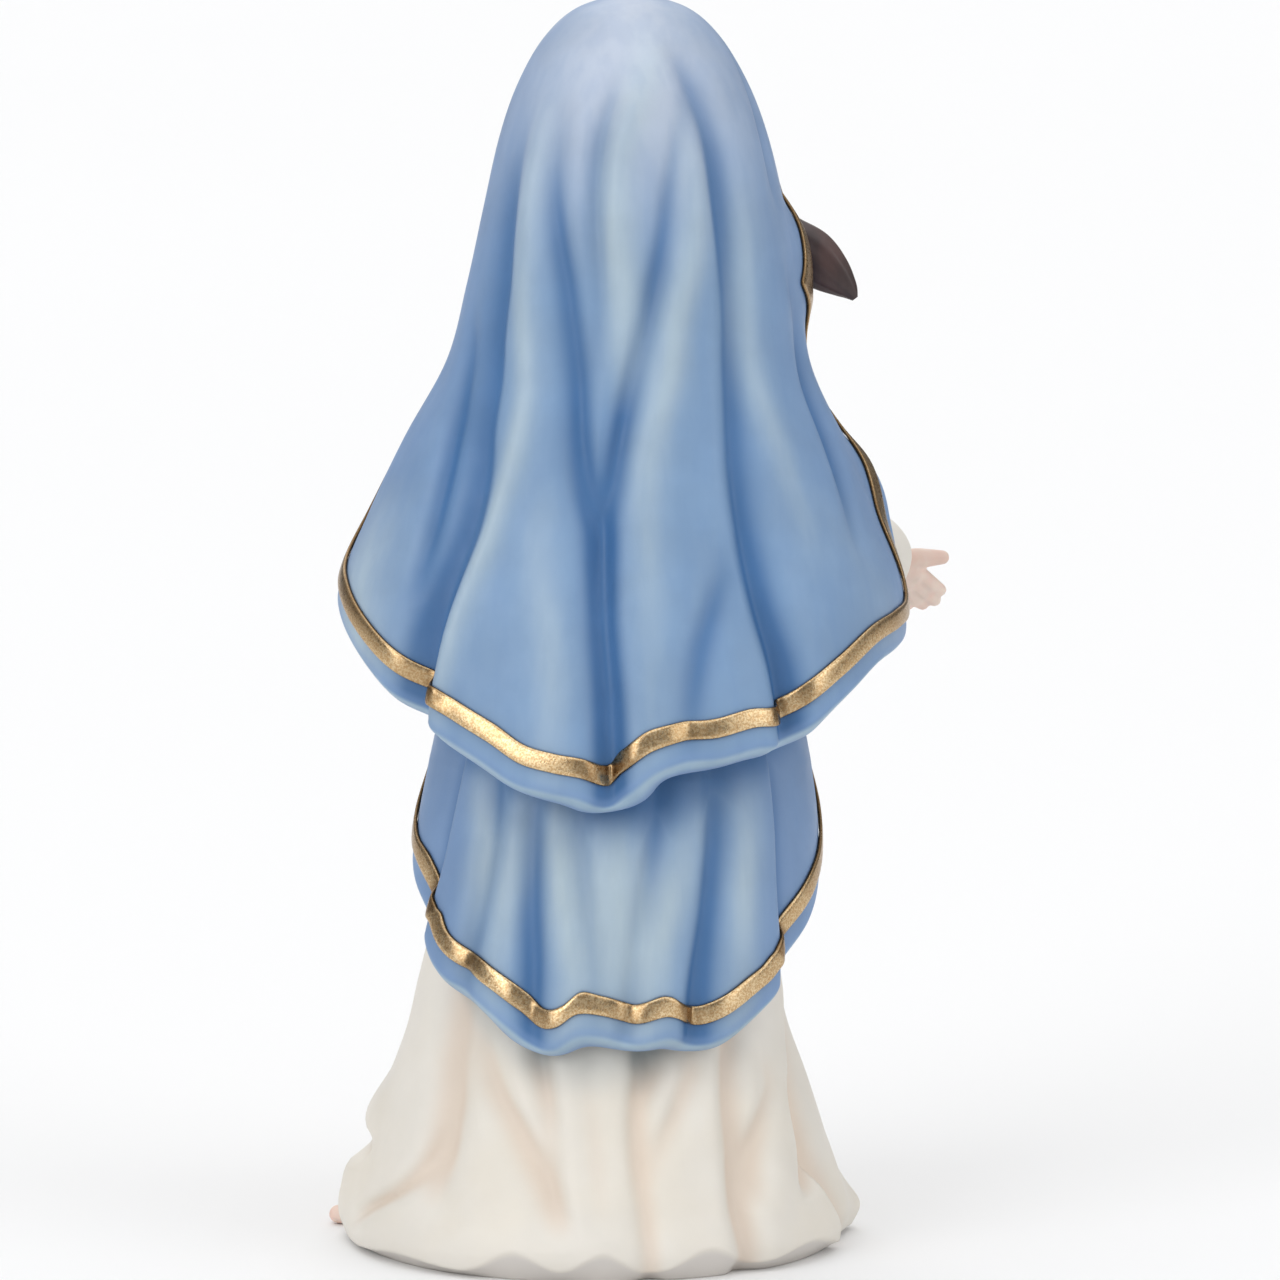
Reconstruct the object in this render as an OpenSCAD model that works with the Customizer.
// Standing robed figure with an open two-tier mantle, arms held open.
// Cast ceramic shells, fixed together: gown, base disc, bodice, lower cloak,
// veil, raised gold bands, head, hair, sleeves, hands and bare feet.
// The figure faces -Y and stands on the plane z = 0.

/* [Figure] */
// Height from the floor to the top of the veil
figure_h = 230; // [180:5:280]
// Wall thickness of the veil and the cloak
wall = 2.4; // [2:0.1:2.6]
// Depth of the folds, as a share of their modelled depth
fold_share = 1; // [0.6:0.05:1]

/* [Gold bands] */
// Width of a gold band
band_w = 3.5; // [2.5:0.1:4]
// Distance from the cloth's edge to the band
band_inset = 2.8; // [2.4:0.1:3.2]
// Height of a band above the cloth
band_rise = 0.7; // [0.4:0.1:1]

/* [Base] */
// Radius of the closing disc inside the gown's hem
base_r = 35; // [30:0.5:35]
// Thickness of the closing disc
base_t = 4; // [3:0.5:5]
// Radius of the vent hole in the disc
vent_r = 4; // [2:0.5:5]
// Distance of the vent hole from the disc's centre
vent_shift = 18; // [14:1:24]

/* [Detail] */
// Points round a draped sheet
sheet_steps = 80; // [48:4:96]
// Points round a body
body_steps = 40; // [24:4:60]

/* [Hidden] */
model_h = 230;
gap = 0.2;          // slip line between neighbouring pieces
lift = 0.12;        // slip line under a gold band
veil_y = -2;        // the veil's axis lies slightly forward
waist_z = 106;      // top of the gown's skirt
waist_x = -4.2;     // sideways lean at the waist
waist_r = 21;
neck_z = 164;       // where the neck meets the bodice
hair_t = 2.2;       // thickness of the hair over the head
rim_drop = 2.8;     // how far a rolled rim runs on beyond the cloth's edge
veil_rim = 5;       // how far the veil's rim turns inwards
cloak_rim = 3.5;    // how far the cloak's rim turns inwards
hem_zone = 9;       // width of the finer net along an edge

// ---------------------------------------------------------------- curves

function clamp01(t) = min(1, max(0, t));
function unit(v) = v / max(norm(v), 1e-9);

// Catmull-Rom piece between b and c
function between(a, b, c, d, f) =
    0.5 * (2 * b + (c - a) * f + (2 * a - 5 * b + 4 * c - d) * f * f
        + (3 * b - a - 3 * c + d) * f * f * f);

function pick(list, i) = list[min(len(list) - 1, max(0, i))];

// Point at t (0 to 1) on an open curve through a list of stations
function along(list, t) =
    let (x = clamp01(t) * (len(list) - 1), i = min(len(list) - 2, floor(x)))
    between(pick(list, i - 1), list[i], list[i + 1], pick(list, i + 2), x - i);

// The same, starting at a pole: the station before it is its mirror image
function from_pole(list, t) =
    let (
        x = clamp01(t) * (len(list) - 1),
        i = min(len(list) - 2, floor(x)),
        m = [list[1][0], -list[1][1], -list[1][2], -list[1][3]],
        a = i == 0 ? m : list[i - 1]
    )
    between(a, list[i], list[i + 1], pick(list, i + 2), x - i);

// Knot i of a closed edge; its angle grows by `turn` degrees each time round
function edge_knot(list, i, turn) =
    let (n = len(list), k = floor(i / n)) list[i - k * n] + [turn * k, 0];

// Angle and height at t (0 to 1) on a closed edge
function edge_at(list, t, turn) =
    let (x = t * len(list), i = floor(x))
    between(edge_knot(list, i - 1, turn), edge_knot(list, i, turn), edge_knot(list, i + 1, turn),
        edge_knot(list, i + 2, turn), x - i);

function polar(r, a) = r * [sin(a), cos(a)];

// ----------------------------------------------------------------- folds

// Each fold: its line as [height, angle], its depth as [height, depth], and
// its reach in mm on the side of smaller and of larger angles.
function fold(f, a, z, r) =
    let (
        d = (a - lookup(z, f[0])) * r * PI / 180,
        w = d < 0 ? f[2] : f[3]
    )
    lookup(z, f[1]) * exp(-d * d / (w * w));

function folds(list, a, z, r) = fold_share * [for (f = list) fold(f, a, z, r)] * [for (f = list) 1];

// Sideways lean of the whole figure, by height
LEAN = [[0, 0], [45, -1], [70, -3.3], [150, -5], [175, -6.5], [230, -6.5]];
function lean(z) = lookup(z, LEAN);

// ------------------------------------------------------------------ veil
// Stations from the crown down: height, half width, depth behind, depth in front
VEIL = [
    [230, 0, 0, 0], [228, 9.5, 9, 9.5], [222.5, 16, 15.5, 17], [214, 21, 21, 22],
    [204, 24.6, 24.5, 25], [191, 27.6, 27, 27.5], [177, 30.4, 28, 28.5], [163, 33.4, 29, 29.5],
    [149, 40.2, 31, 31], [135, 46.4, 34, 33], [121, 51.8, 38, 36], [107, 52.4, 41.5, 38],
    [93, 52.6, 44, 40], [80, 52.6, 45, 40]
];
VEIL_FOLDS = [
    [[[175, 10], [183, 12], [192, 14.5], [207, 14], [213, 9], [222, 4]],
        [[160, 0], [175, 0.9], [190, 1.4], [207, 1], [222, 0.3], [227, 0]], 3.2, 3.2],
    [[[95, -37], [110, -34], [121, -30], [133, -29], [148, -30], [162, -34], [195, -38],
        [208, -34], [224, -22]],
        [[95, 4.2], [105, 4], [120, 3], [140, 2.2], [160, 2], [200, 2], [210, 1.3], [224, 0.3], [228, 0]],
        4.5, 2.6],
    [[[137, 3.5], [154, 1], [163, -1], [172, -4.5], [180, -7.5], [188, -11], [203, -16]],
        [[120, 0], [137, 1.6], [150, 2.4], [165, 2], [185, 1.6], [200, 1.3], [213, 0.4], [220, 0]],
        3.4, 3],
    [[[90, 1.7], [106, 2.4], [117, 3.4], [128, 4.4], [135, 5.5], [143, 9], [152, 12.5],
        [159, 15], [170, 19], [180, 23.5], [188, 28], [195, 33.5], [206, 36.5]],
        [[90, 4], [105, 3.6], [120, 3.2], [135, 2.8], [170, 2], [190, 1.6], [206, 0.4], [214, 0]],
        3.6, 4],
    [[[95, 46], [105, 45], [112, 43], [126, 38.5], [138, 36.5], [148, 39], [153, 42], [160, 46],
        [169, 51], [178, 53], [187, 56], [196, 58], [209, 57]],
        [[95, 5.5], [105, 5], [115, 4], [130, 2.8], [150, 2.2], [173, 2.2], [195, 1.6], [212, 0]],
        2.6, 8],
    [[[126, 48], [137, 49], [147, 51], [154, 55], [161, 62], [179, 68]],
        [[120, 0], [130, 1], [170, 1.2], [182, 0]], 3.5, 3.5],
    [[[132, -65], [142, -69], [158, -72], [171, -76], [183, -72]],
        [[125, 0], [135, 1.1], [170, 1.2], [185, 0]], 3.5, 3.5],
    [[[128, -107], [200, -108]],
        [[118, 0], [131, -4.4], [143, -4.4], [151, 0], [168, 0], [176, -3.4], [186, -3.2], [193, 0]], 8, 8]
];
// Edge of the veil: angle and height, right hem corner, hem, left corner, front edge
VEIL_EDGE = [
    [-95, 118], [-88, 114], [-76, 112.6], [-64, 111], [-53, 106.7], [-45, 103], [-38, 99],
    [-34, 98], [-28, 98], [-20, 96.5], [-13, 96], [-6.5, 94], [-1, 90], [2.6, 87.5],
    [8, 89.5], [14, 90.5], [21, 92], [28, 95.5], [35, 98.5], [41, 101], [50, 104.5],
    [58, 108.5], [70, 114], [80, 118], [90, 121.5], [99, 126], [106, 134], [111, 145], [114, 156],
    [116, 168], [118, 180], [122, 192], [130, 204], [146, 214], [165, 220], [180, 221.5],
    [195, 220], [216, 214], [232, 204], [244, 193], [254, 184], [256, 176], [249, 167],
    [247, 155], [254, 144], [261, 130]
];
// The veil's net keeps its angles: radius in the net against share of the profile
net_n = 60;
LEVELS = [for (j = [0:net_n]) from_pole(VEIL, j / net_n)];
function level_step(j) =
    let (p = LEVELS[j], q = LEVELS[j + 1]) norm([q[0] - p[0], q[1] - p[1]]) * 2 / (p[1] + q[1]);
NET = [for (j = 1, w = ln(LEVELS[1][1]); j <= net_n; w = w + (j < net_n ? level_step(j) : 0), j = j + 1)
    [exp(w), j / net_n]];
SHARE_OF_NET = concat([[0, 0]], NET);
NET_OF_Z = [for (j = [net_n - 1:-1:0]) [LEVELS[j + 1][0], NET[j][0]]];
VEIL_CENTRE = [0, lookup(142, NET_OF_Z)];
veil_edge = function (t) let (k = edge_at(VEIL_EDGE, t, 360)) polar(lookup(k[1], NET_OF_Z), k[0]);

veil_skin = function (p)
    let (
        a = atan2(p[0], p[1]),
        s = from_pole(VEIL, lookup(norm(p), SHARE_OF_NET)),
        f = s[1] - folds(VEIL_FOLDS, a, s[0], s[1]),
        g = (cos(a) > 0 ? s[2] : s[3]) - s[1] + f
    )
    [lean(s[0]) + f * sin(a), veil_y + g * cos(a), s[0]];

// ----------------------------------------------------------- lower cloak
CLOAK = [
    [122, 28.6, 26.5, 26], [112, 29.5, 27, 26], [104, 31.5, 28.5, 27], [97, 33.5, 30, 28.5],
    [90, 35, 31.5, 30], [80, 36.6, 34, 32], [70, 37.6, 36, 34], [60, 38.6, 37.5, 35.5],
    [50, 39.6, 38.5, 37], [38, 40, 39.4, 38]
];
CLOAK_FOLDS = [
    [[[50, 66], [63, 65], [74, 61.5], [95, 58], [112, 55]], [[60, 2.5], [80, 2.2], [100, 1.5]],
        1.8, 8],
    [[[58, -58], [67, -56], [91, -55]], [[60, 2.5], [80, 2.2], [100, 1.5]], 8, 1.8],
    [[[50, 42], [64, 41], [88, 40]], [[45, 1.2], [90, 1.2], [104, 0]], 3, 3],
    [[[45, 19], [57, 21], [68, 24], [84, 26]], [[45, 1.8], [84, 1.4], [104, 0]], 3, 3],
    [[[48, 1], [58, 3], [68, 8], [80, 12]], [[45, 0.4], [60, 1.3], [84, 1.3], [104, 0]], 3, 3],
    [[[42, -6], [52, -7], [68, -8.5], [83, -11]], [[42, 1.6], [84, 1.4], [104, 0]], 2.6, 2.6],
    [[[42, -25], [52, -25], [68, -27], [87, -29]], [[42, 2.6], [60, 1.8], [84, 1.4], [104, 0]],
        4, 2]
];
// Edge of the cloak: hidden top, right front edge, hem, left front edge
CLOAK_EDGE = [
    [0, 118], [-40, 118], [-80, 118], [-103, 115], [-116, 107], [-119, 97], [-115, 88],
    [-106, 80], [-95, 73], [-82, 67], [-70, 61], [-60, 56], [-54, 51.5], [-46, 48.5], [-35, 44.5],
    [-27, 43], [-18, 45], [-9, 44], [0, 45.5], [7, 45.5], [13, 43], [19, 43.5], [25, 46.5],
    [32, 49.5], [40, 52], [48, 54], [56, 57], [63, 61], [72, 66], [82, 70.5], [94, 74.5],
    [106, 80], [115, 88], [119, 98], [116, 107], [103, 115], [80, 118], [40, 118]
];
CLOAK_T = [for (i = [len(CLOAK) - 1:-1:0]) [CLOAK[i][0], i / (len(CLOAK) - 1)]];
// Net of the cloak: angle sideways, height upwards, both near millimetres
cloak_mm = 0.6;
CLOAK_CENTRE = [0, 88];
cloak_edge = function (t) let (k = edge_at(CLOAK_EDGE, t, 0)) [-k[0] * cloak_mm, k[1]];

cloak_skin = function (p)
    let (
        a = -p[0] / cloak_mm,
        z = p[1],
        s = along(CLOAK, lookup(z, CLOAK_T)),
        f = folds(CLOAK_FOLDS, a, z, s[1]),
        g = (cos(a) > 0 ? s[2] : s[3]) - f
    )
    [lean(z) + (s[1] - f) * sin(a), g * cos(a), z];

// ------------------------------------------------------------------ head
// Stations from the crown down to the neck's foot
HEAD = [
    [218.5, 0, 0, 0], [217.3, 6.6, 7, 6.4], [212.5, 13.2, 14, 13], [205.5, 17, 18, 17.4],
    [198, 18.8, 19.4, 19.8], [190.5, 19, 18.6, 20.8], [183, 17.8, 16.4, 20.6],
    [177.5, 14.8, 13.2, 19.4], [173.5, 11, 10.5, 16], [171, 8.8, 9, 10.5], [168, 8.2, 8.5, 8.6],
    [neck_z + gap, 8.5, 8.5, 8.5]
];
head_x = -6.5;
head_y = -2.5;
HEAD_T = [for (i = [len(HEAD) - 1:-1:0]) [HEAD[i][0], i / (len(HEAD) - 1)]];
HAIR_EDGE = [
    [0, 174], [35, 173], [70, 173], [98, 174], [112, 182], [121, 194], [131, 203], [155, 208.5],
    [180, 209.5], [205, 208.5], [228, 204.5], [239, 195.5], [248, 183], [262, 174], [290, 173],
    [325, 173]
];
hair_edge = function (t) let (k = edge_at(HAIR_EDGE, t, 360)) polar(lookup(k[1], HEAD_T), k[0]);
HAIR_CENTRE = [0, 0.1];

head_skin = function (p)
    let (a = atan2(p[0], p[1]), s = from_pole(HEAD, norm(p)), d = cos(a) > 0 ? s[2] : s[3])
    [head_x + s[1] * sin(a), head_y + d * cos(a), s[0]];

// ------------------------------------------------------ wrapped surfaces

// Closed solid: a first point, rings seen clockwise from outside it, a last point
module wrap(first, rings, last) {
    n = len(rings[0]);
    m = len(rings);
    points = concat([first], [for (r = rings) each r], [last]);
    function at(r, i) = 1 + r * n + i % n;
    start = [for (i = [0:n - 1]) [0, at(0, i), at(0, i + 1)]];
    sides = [for (r = [0:m - 2]) for (i = [0:n - 1])
        each [[at(r, i), at(r + 1, i), at(r + 1, i + 1)], [at(r, i), at(r + 1, i + 1), at(r, i + 1)]]];
    end = [for (i = [0:n - 1]) [at(m - 1, i), m * n + 1, at(m - 1, i + 1)]];
    polyhedron(points, concat(start, sides, end));
}

slope_step = 0.004;     // net step for a normal, as a share of the distance from the net's origin
least_radius = 0.25;    // keeps that step from vanishing at the origin
function normal(skin, p) =
    let (h = slope_step * max(norm(p), least_radius))
    unit(cross(skin(p + [h, 0]) - skin(p - [h, 0]), skin(p + [0, h]) - skin(p - [0, h])));

// Table of distance from the edge against share of the ray from the centre
ray_n = 24;
ray_power = 2.5;        // gathers the table's steps near the edge
function ray_table(skin, b, centre) =
    let (
        v = [for (j = [0:ray_n]) 1 - pow(j / ray_n, ray_power)],
        q = [for (x = v) skin(centre + (b - centre) * x)]
    )
    [for (j = 0, d = 0; j <= ray_n; d = d + norm(q[min(ray_n, j + 1)] - q[j]), j = j + 1) [d, v[j]]];

// Frame of a sheet's edge: net point, slant of the ray, outward direction, normal, tip, ray table
near_edge = 0.9995;     // share of the ray just inside the edge
edge_step = 0.003;      // step along the edge for its direction
least_slant = 0.25;
function edge_frame(skin, edge, centre, t) =
    let (
        b = edge(t),
        tip = skin(b),
        ray = unit(tip - skin(centre + (b - centre) * near_edge)),
        side = unit(skin(edge(t + edge_step)) - skin(edge(t - edge_step))),
        out = ray - side * (ray * side)
    )
    [b, max(least_slant, norm(out)), unit(out), normal(skin, b), tip, ray_table(skin, b, centre)];

// Point of a sheet at distance d along its ray from the edge, off (mm) above its face
function ray_point(skin, centre, f, d, off) =
    let (p = centre + (f[0] - centre) * lookup(d, f[5])) skin(p) + normal(skin, p) * off;

// The same at distance s square to the edge
function sheet_point(skin, centre, f, s, off) = ray_point(skin, centre, f, s / f[1], off);

// Rings between a sheet's centre and its hem zone, and the rolled rim's section as shares
// of how far it runs on and of how far it turns in
SHARES = [0.1, 0.22, 0.34, 0.46, 0.58, 0.7, 0.8, 0.9, 1];
RIM = [[0.3, 0.12], [0.8, 0.5], [1, 1]];
last_ring = 1;          // the last ring on the face, short of the rim

// Draped sheet with a rolled rim, hollow underneath
module sheet(skin, edge, centre, deep) {
    frames = [for (i = [0:sheet_steps - 1]) edge_frame(skin, edge, centre, i / sheet_steps)];
    function share_ring(v, off) = [for (f = frames)
        let (near = hem_zone / f[1], far = f[5][ray_n][0])
        ray_point(skin, centre, f, near + (far - near) * (1 - v), off)];
    function edge_ring(s, off) = [for (f = frames) sheet_point(skin, centre, f, s, off)];
    function rim_ring(out, down) = [for (f = frames) f[4] + f[2] * out - f[3] * down];
    outer = concat(
        [for (v = SHARES) share_ring(v, 0)],
        [for (s = [band_inset + band_w, band_inset, last_ring]) edge_ring(s, 0)]
    );
    rim = [for (r = RIM) rim_ring(r[0] * rim_drop, r[1] * deep)];
    inner = concat(
        [edge_ring(band_inset + band_w, -wall)],
        [for (i = [len(SHARES) - 1:-1:0]) share_ring(SHARES[i], -wall)]
    );
    top = skin(centre);
    wrap(top, concat(outer, rim, inner), top - normal(skin, centre) * wall);
}

// Section of the raised band that follows a sheet's edge: flat below, crowned above
band_side = 0.8;        // height of its sides, as a share of its rise
function band_section(skin, centre, f) =
    let (a = band_inset + band_w, b = band_inset, m = (a + b) / 2)
    [
        sheet_point(skin, centre, f, b, lift), sheet_point(skin, centre, f, b, band_rise * band_side),
        sheet_point(skin, centre, f, m, band_rise + lift),
        sheet_point(skin, centre, f, a, band_rise * band_side), sheet_point(skin, centre, f, a, lift)
    ];

// Band from step `first` to step `last` of an edge, with closed ends
module band_strip(skin, edge, centre, first, last) {
    rings = [for (i = [first:last])
        band_section(skin, centre, edge_frame(skin, edge, centre, i / sheet_steps))];
    function middle(r) = (r[0] + r[2] + r[4]) / 3;
    wrap(middle(rings[0]), rings, middle(rings[len(rings) - 1]));
}

// Band all the way round an edge
module band_loop(skin, edge, centre) {
    n = sheet_steps;
    rings = [for (i = [0:n - 1]) band_section(skin, centre, edge_frame(skin, edge, centre, i / n))];
    k = len(rings[0]);
    function at(i, j) = (i % n) * k + j % k;
    polyhedron([for (r = rings) each r], [for (i = [0:n - 1]) for (j = [0:k - 1])
        each [[at(i, j), at(i + 1, j), at(i + 1, j + 1)], [at(i, j), at(i + 1, j + 1), at(i, j + 1)]]]);
}

// ------------------------------------------------------------------ gown
// Stations from the waist down: height, half width, depth behind, depth in front
SKIRT = [
    [waist_z, 21.4, 21.4, 21.4], [99, 23, 23.2, 23], [90, 25.4, 25.6, 25.4], [76, 28.4, 28.4, 28.4],
    [62, 31, 30.2, 30.6], [50, 33.4, 31.2, 32.4], [40, 35.4, 33.4, 34.4], [32, 38, 36.2, 36.2],
    [25, 40.4, 39, 38], [18, 42.8, 41.2, 40], [12, 44.8, 43, 41.4], [5, 46.6, 44.8, 43],
    [0, 45.6, 43.8, 42]
];
foot_left_a = 110;   // where the left toes show
foot_right_a = -164; // where the right toes show
SKIRT_FOLDS = [
    [[[12, 43], [21, 44], [39, 49], [48, 50]], [[10, 0], [16, 2], [25, 3], [40, 2.6], [58, 0]],
        4.5, 6],
    [[[11, 9], [17, 13], [27, 22], [42, 38]], [[6, 0], [11, 1.6], [18, 2.3], [35, 2.2], [48, 0]],
        4, 4.4],
    [[[12, 10], [39, 18]], [[8, 0], [24, 1.2], [38, 2.4], [54, 0]], 3.5, 3.5],
    [[[0, -13], [23, -11], [37, -14.5]], [[0, 2], [30, 2.6], [40, 2.8], [56, 0]], 3.6, 3.6],
    [[[23, -17], [36, -29]], [[16, 0], [22, 1.2], [36, 1.7], [46, 0]], 4, 4],
    [[[0, -38], [22, -38.5], [41, -44]], [[0, 2.6], [12, 3], [44, 2], [56, 0]], 4, 3.6],
    [[[17, -43], [33, -59]], [[11, 0], [16, 1.7], [32, 1.4], [42, 0]], 4, 4],
    [[[0, -80], [12, -71], [20, -67], [29, -67], [47, -86]],
        [[0, 2.4], [12, 2.4], [30, 2], [47, 1.2], [60, 0]], 8, 2.4],
    [[[5, 96], [25, 92]], [[0, -0.8], [9, -1.6], [14, -1.6], [18, 0.8], [22, -1.6], [32, 0]], 9, 9],
    [[[0, foot_left_a], [16, foot_left_a]], [[0, 7], [6, 7], [15, 0]], 7, 7],
    [[[0, foot_right_a], [16, foot_right_a]], [[0, 7], [6, 7], [15, 0]], 7, 7],
    [[[0, 128], [30, 134], [90, 160]], [[0, 3], [40, 2.6], [90, 1]], 5, 5],
    [[[0, 150], [90, 170]], [[0, 2.6], [40, 1.8], [95, 0.6]], 4, 4],
    [[[0, -122], [40, -132], [90, -150]], [[0, 3], [40, 2.6], [90, 1]], 5, 5],
    [[[0, -143], [90, -164]], [[0, 2.6], [40, 1.8], [95, 0.6]], 4, 4]
];
// Height and radius of the hollow inside
SKIRT_HOLLOW = [
    [0, base_r + gap], [base_t + 1, base_r + gap], [20, 31], [50, 26], [90, 19], [waist_z - 4, 16]
];

function oval_ring(n, cx, cy, z, w, back, front) = [for (i = [0:n - 1])
    let (a = 360 * i / n) [cx + w * sin(a), cy + (cos(a) > 0 ? back : front) * cos(a), z]];

function skirt_lean(z) = lean(z) * z / waist_z;

function skirt_ring(s) = [for (i = [0:sheet_steps - 1])
    let (
        a = 360 * i / sheet_steps,
        f = folds(SKIRT_FOLDS, a > 180 ? a - 360 : a, s[0], s[1])
    )
    [skirt_lean(s[0]) + (s[1] - f) * sin(a), ((cos(a) > 0 ? s[2] : s[3]) - f) * cos(a), s[0]]];

module gown_skirt() {
    outer = [for (s = SKIRT) skirt_ring(s)];
    hollow = [for (s = SKIRT_HOLLOW)
        oval_ring(sheet_steps, skirt_lean(s[0]), 0, s[0], s[1], s[1], s[1])];
    roof = SKIRT_HOLLOW[len(SKIRT_HOLLOW) - 1][0];
    color("#e2ddd4") wrap([waist_x, 0, waist_z], concat(outer, hollow), [waist_x, 0, roof]);
}

module base_disc() {
    color("#e8e2d8") difference() {
        cylinder(h = base_t, r = base_r, $fn = 72);
        translate([0, vent_shift, -base_t]) cylinder(h = 3 * base_t, r = vent_r, $fn = 32);
    }
}

// Stations of the torso, from the neck down
upright_z = 114;   // below this the torso stands straight over the waist
BODICE = [
    [neck_z, 9.5, 9.5, 9.5], [162.5, 12.5, 12, 11.5], [158.5, 17.5, 15, 13.5], [152, 20.4, 17.5, 16.5],
    [142, 20.8, 19, 18.5], [130, 20.8, 20, 20], [120, 21, 20.8, 20.8],
    [upright_z, waist_r, waist_r, waist_r], [waist_z + gap, waist_r, waist_r, waist_r]
];

module gown_bodice() {
    function shift(z) = lookup(z, [[upright_z, waist_x], [neck_z, head_x]]);
    function back(z) = lookup(z, [[upright_z, 0], [neck_z, head_y]]);
    rings = [for (s = BODICE) oval_ring(body_steps, shift(s[0]), back(s[0]), s[0], s[1], s[2], s[3])];
    color("#ded8ce") wrap(
        [head_x, head_y, neck_z], rings, [waist_x, 0, waist_z + gap]
    );
}

belt_w = 2;
belt_h = 6;
belt_round = 0.6;
module gown_belt() {
    color("#c9a968") translate([waist_x, 0, waist_z + 2 * gap]) rotate_extrude($fn = 64)
        translate([waist_r + gap, 0])
            offset(r = belt_round, $fn = 16) offset(delta = -belt_round) square([belt_w, belt_h]);
}

module lower_cloak() {
    color("#6d8fc0") sheet(cloak_skin, cloak_edge, CLOAK_CENTRE, cloak_rim);
}

// The cloak's band leaves out the top edge, hidden under the veil
cloak_band_from = 3.2;  // first and last knot of CLOAK_EDGE
cloak_band_to = 34.8;
module lower_cloak_band() {
    first = ceil(sheet_steps * cloak_band_from / len(CLOAK_EDGE));
    last = floor(sheet_steps * cloak_band_to / len(CLOAK_EDGE));
    color("#c8a870") band_strip(cloak_skin, cloak_edge, CLOAK_CENTRE, first, last);
}

module veil() {
    color("#7f9fc7") sheet(veil_skin, veil_edge, VEIL_CENTRE, veil_rim);
}

module veil_band() {
    color("#c8a870") band_loop(veil_skin, veil_edge, VEIL_CENTRE);
}

module head() {
    n = 2 * (len(HEAD) - 1);
    rings = [for (j = [1:n]) [for (i = [0:body_steps - 1])
        head_skin(polar(j / n, 360 * i / body_steps))]];
    color("#e8cdbc") wrap([head_x, head_y, HEAD[0][0]], rings, [head_x, head_y, neck_z + gap]);
}

// Shares of the way from the crown to the hair's edge; its outer face ends short of the edge
HAIR_SHARES = [0.2, 0.4, 0.6, 0.8, 0.93];
hair_gap = 0.4;         // slip line between the hair and the head
module hair_cap() {
    ends = [for (i = [0:body_steps - 1]) hair_edge(i / body_steps)];
    function ring(v, off) = [for (e = ends)
        let (p = HAIR_CENTRE + (e - HAIR_CENTRE) * v) head_skin(p) + normal(head_skin, p) * off];
    outer = [for (v = HAIR_SHARES) ring(v, hair_t)];
    inner = [for (v = [1:-0.1:0.1]) ring(v, hair_gap)];
    top = head_skin(HAIR_CENTRE);
    up = normal(head_skin, HAIR_CENTRE);
    color("#4a3a38") wrap(top + up * hair_t, concat(outer, inner), top + up * hair_gap);
}

// ---------------------------------------------------------- swept pieces

// Each station of a path is [point, half width, half thickness]; `flat` is a direction
// that the width lies square to
function heading(path, i) = unit(pick(path, i + 1)[0] - pick(path, i - 1)[0]);

function path_ring(path, i, n, flat, shrink) =
    let (d = heading(path, i), u = unit(cross(flat, d)), v = cross(d, u), s = path[i])
    [for (k = [0:n - 1]) s[0] + u * (s[1] - shrink) * cos(360 * k / n)
        + v * (s[2] - shrink) * sin(360 * k / n)];

module lock_of_hair(path) {
    m = len(path) - 1;
    rings = [for (i = [0:m]) path_ring(path, i, 12, [0, 1, 0], 0)];
    color("#4a3a38") wrap(path[0][0], rings, path[m][0]);
}

// Sleeve: a swept tube whose last rings turn back inside the cuff
cuff_wall = 3;
module sleeve(path) {
    m = len(path) - 1;
    function ring(i, shrink) = path_ring(path, i, 20, [0, 0, 1], shrink);
    rings = concat([for (i = [0:m]) ring(i, 0)], [for (i = [m, m - 1]) ring(i, cuff_wall)]);
    color("#e2ddd4") wrap(path[0][0], rings, path[m - 1][0]);
}

LOCK_RIGHT = [
    [[-27.5, -18.5, 200], 1.8, 1.3], [[-28.6, -19.5, 194], 3.6, 2.4], [[-31, -19.5, 188], 4.8, 3],
    [[-35, -18, 182.6], 5.8, 3.2], [[-39.4, -16.4, 179], 5.6, 3], [[-43.4, -15.2, 176.8], 4.2, 2.4],
    [[-46.6, -14.6, 174.8], 1.9, 1.4], [[-47.8, -14.5, 173.8], 0.7, 0.6]
];
LOCK_LEFT = [
    [[11.8, -18.6, 197.6], 1.8, 1.3], [[13, -20.8, 192.6], 3.2, 2.2], [[14, -22.2, 186], 4, 2.6],
    [[14.8, -22.8, 179], 4.2, 2.6], [[16, -23, 173], 3.6, 2.4], [[17.8, -23, 168.6], 2, 1.6],
    [[20, -22.6, 166.6], 0.7, 0.6]
];

module hair_lock_right() {
    lock_of_hair(LOCK_RIGHT);
}

module hair_lock_left() {
    lock_of_hair(LOCK_LEFT);
}

SLEEVE_RIGHT = [
    [[-31.5, -6, 150], 4.4, 5], [[-34.5, -7, 143], 6.8, 7], [[-38, -9, 134], 8.2, 8],
    [[-42, -15, 127.5], 9, 8.2], [[-46, -22.4, 124.5], 9, 8.2], [[-51, -28.5, 123], 9.4, 8.4]
];
SLEEVE_LEFT = [
    [[19.4, -6.4, 150], 4.4, 5], [[21.8, -8.8, 143], 6.6, 6.8], [[25, -13.4, 134], 8, 7.8],
    [[29, -20, 128], 9, 8.2], [[30, -28.5, 126.5], 9.2, 8.2], [[31, -36, 127], 9.4, 8.4]
];

module sleeve_right() {
    sleeve(SLEEVE_RIGHT);
}

module sleeve_left() {
    sleeve(SLEEVE_LEFT);
}

// Round-ended limb from a to b
module bone(a, ra, b, rb) {
    hull() {
        translate(a) sphere(ra);
        translate(b) sphere(rb);
    }
}

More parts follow.
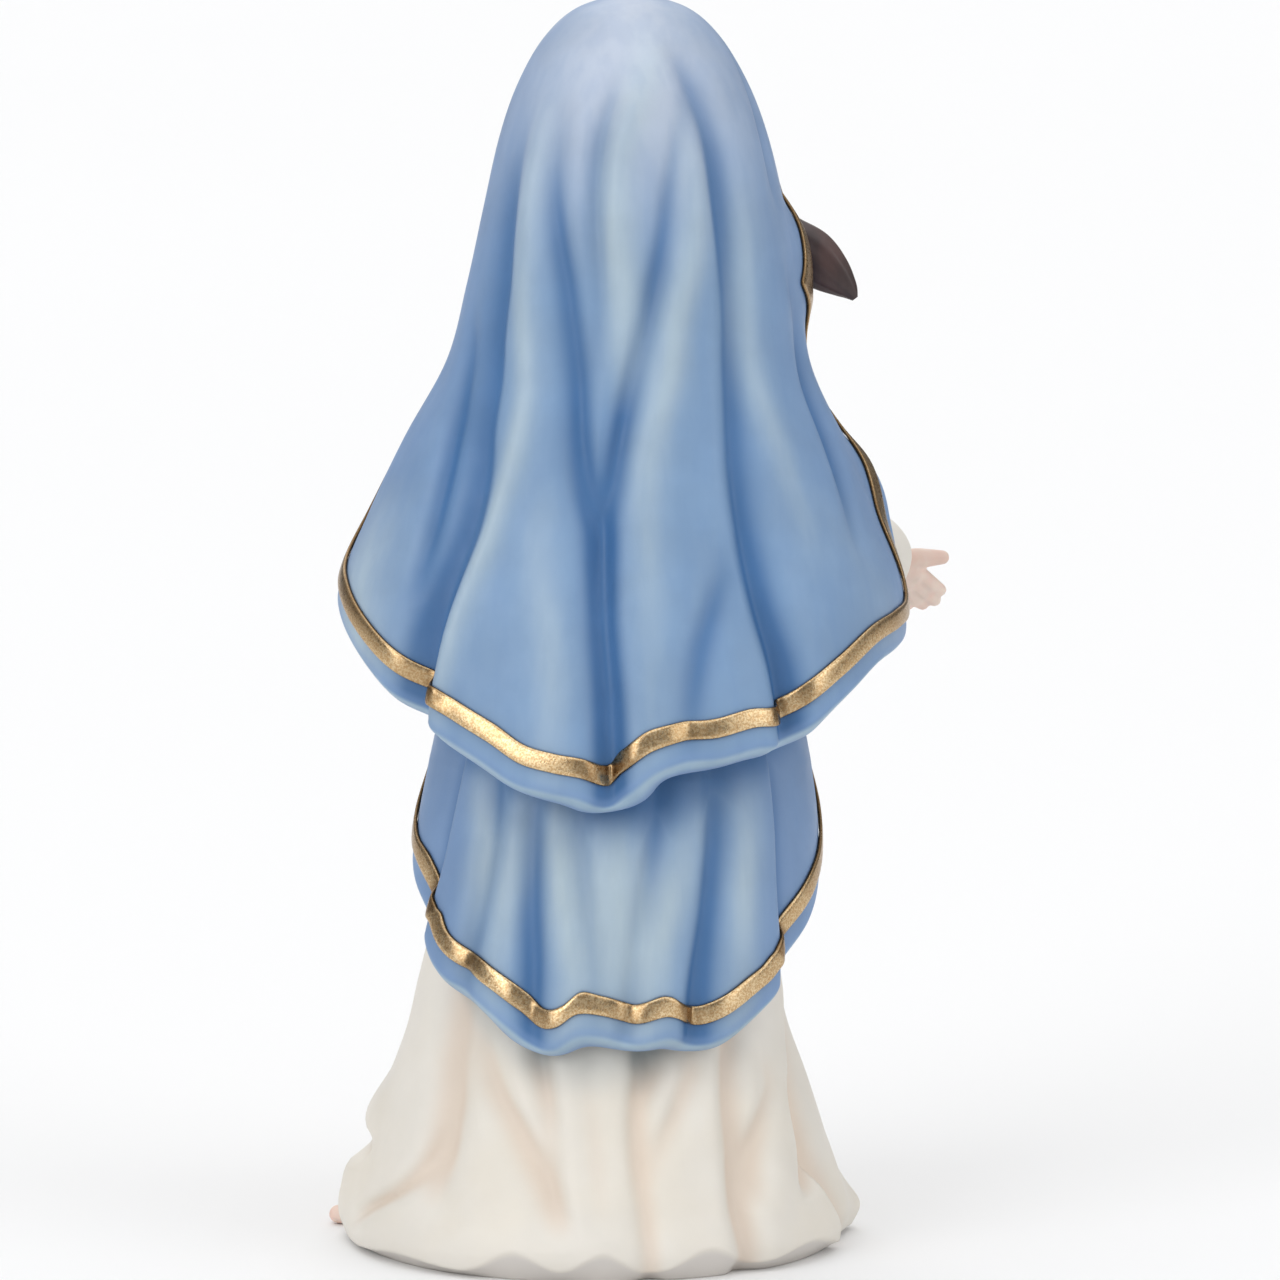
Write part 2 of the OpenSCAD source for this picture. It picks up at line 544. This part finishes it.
// Open right hand: wrist at the origin, fingers along +X, palm to +Z, thumb to -Y
palm_x = 4;         // from the wrist to the palm's heel
KNUCKLE_Y = [3.6, 1.6, -0.5, -2.5];     // little finger first
KNUCKLE_X = [8, 8.6, 8.8, 8.4];         // from the wrist
FINGERTIPS = [[12.4, 4.9, 1], [14.6, 3.2, 1], [16, 1.4, 1.2], [15.6, -0.8, 1.5]];
THUMB_TIP = [11.5, -7.2, 1.7];
module hand() {
    $fn = 12;
    bone([0, 0, 0], 3.4, [palm_x, 0, 0], 3.6);
    hull() {
        translate([palm_x, 0, 0]) sphere(3.4);
        for (y = [-2, 3]) translate([8, y, 0]) sphere(2);
    }
    for (i = [0:3]) bone([KNUCKLE_X[i], KNUCKLE_Y[i], 0.2], 1.6, FINGERTIPS[i], 1.3);
    bone([palm_x, -2, 0.6], 2.2, THUMB_TIP, 1.4);
}

// Places a hand at a wrist, with its fingers along f and its palm towards p
module placed_hand(wrist, f, p) {
    x = unit(f);
    z = unit(p - x * (x * p));
    y = cross(z, x);
    multmatrix([[x[0], y[0], z[0], wrist[0]], [x[1], y[1], z[1], wrist[1]],
        [x[2], y[2], z[2], wrist[2]], [0, 0, 0, 1]]) children();
}

module hand_right() {
    color("#e6cfc2") placed_hand([-51.4, -29.2, 122.2], [-0.78, -0.4, -0.48], [-0.1, -1, 0.4]) hand();
}

module hand_left() {
    color("#e6cfc2") placed_hand([31.3, -36.8, 127], [0.1, -1, 0.15], [-0.8, 0, 0.8])
        mirror([0, 1, 0]) hand();
}

// Toes and ball of a bare foot along +X, sole on z = 0
instep_r = 3.2;
ball_r = 2.8;
toe_r = 1.8;        // radius of the first toe, and the distance between neighbours
module foot(length) {
    $fn = 12;
    hull() {
        translate([0, 0, instep_r]) scale([1, 1.2, 1]) sphere(instep_r);
        translate([length, 0, ball_r]) scale([1, 1.5, 1]) sphere(ball_r);
    }
    for (i = [0:4])
        let (r = toe_r - 0.1 * i)
        translate([length + ball_r - 0.4 * abs(i - 1), (2 - i) * toe_r, r]) sphere(r);
}

// Toes stand out from the gown's hem at angle a, starting at radius r
module placed_foot(a, r) {
    translate([r * sin(a), r * cos(a), 0]) rotate(90 - a) foot(4);
}

module foot_right() {
    color("#f0cdbd") placed_foot(foot_right_a, 40.5);
}

module foot_left() {
    color("#f0cdbd") placed_foot(foot_left_a, 43.6);
}

module placed() {
    scale(figure_h / model_h) children();
}

placed() gown_skirt();
placed() base_disc();
placed() gown_bodice();
placed() gown_belt();
placed() lower_cloak();
placed() lower_cloak_band();
placed() veil();
placed() veil_band();
placed() head();
placed() hair_cap();
placed() hair_lock_right();
placed() hair_lock_left();
placed() sleeve_right();
placed() sleeve_left();
placed() hand_right();
placed() hand_left();
placed() foot_right();
placed() foot_left();
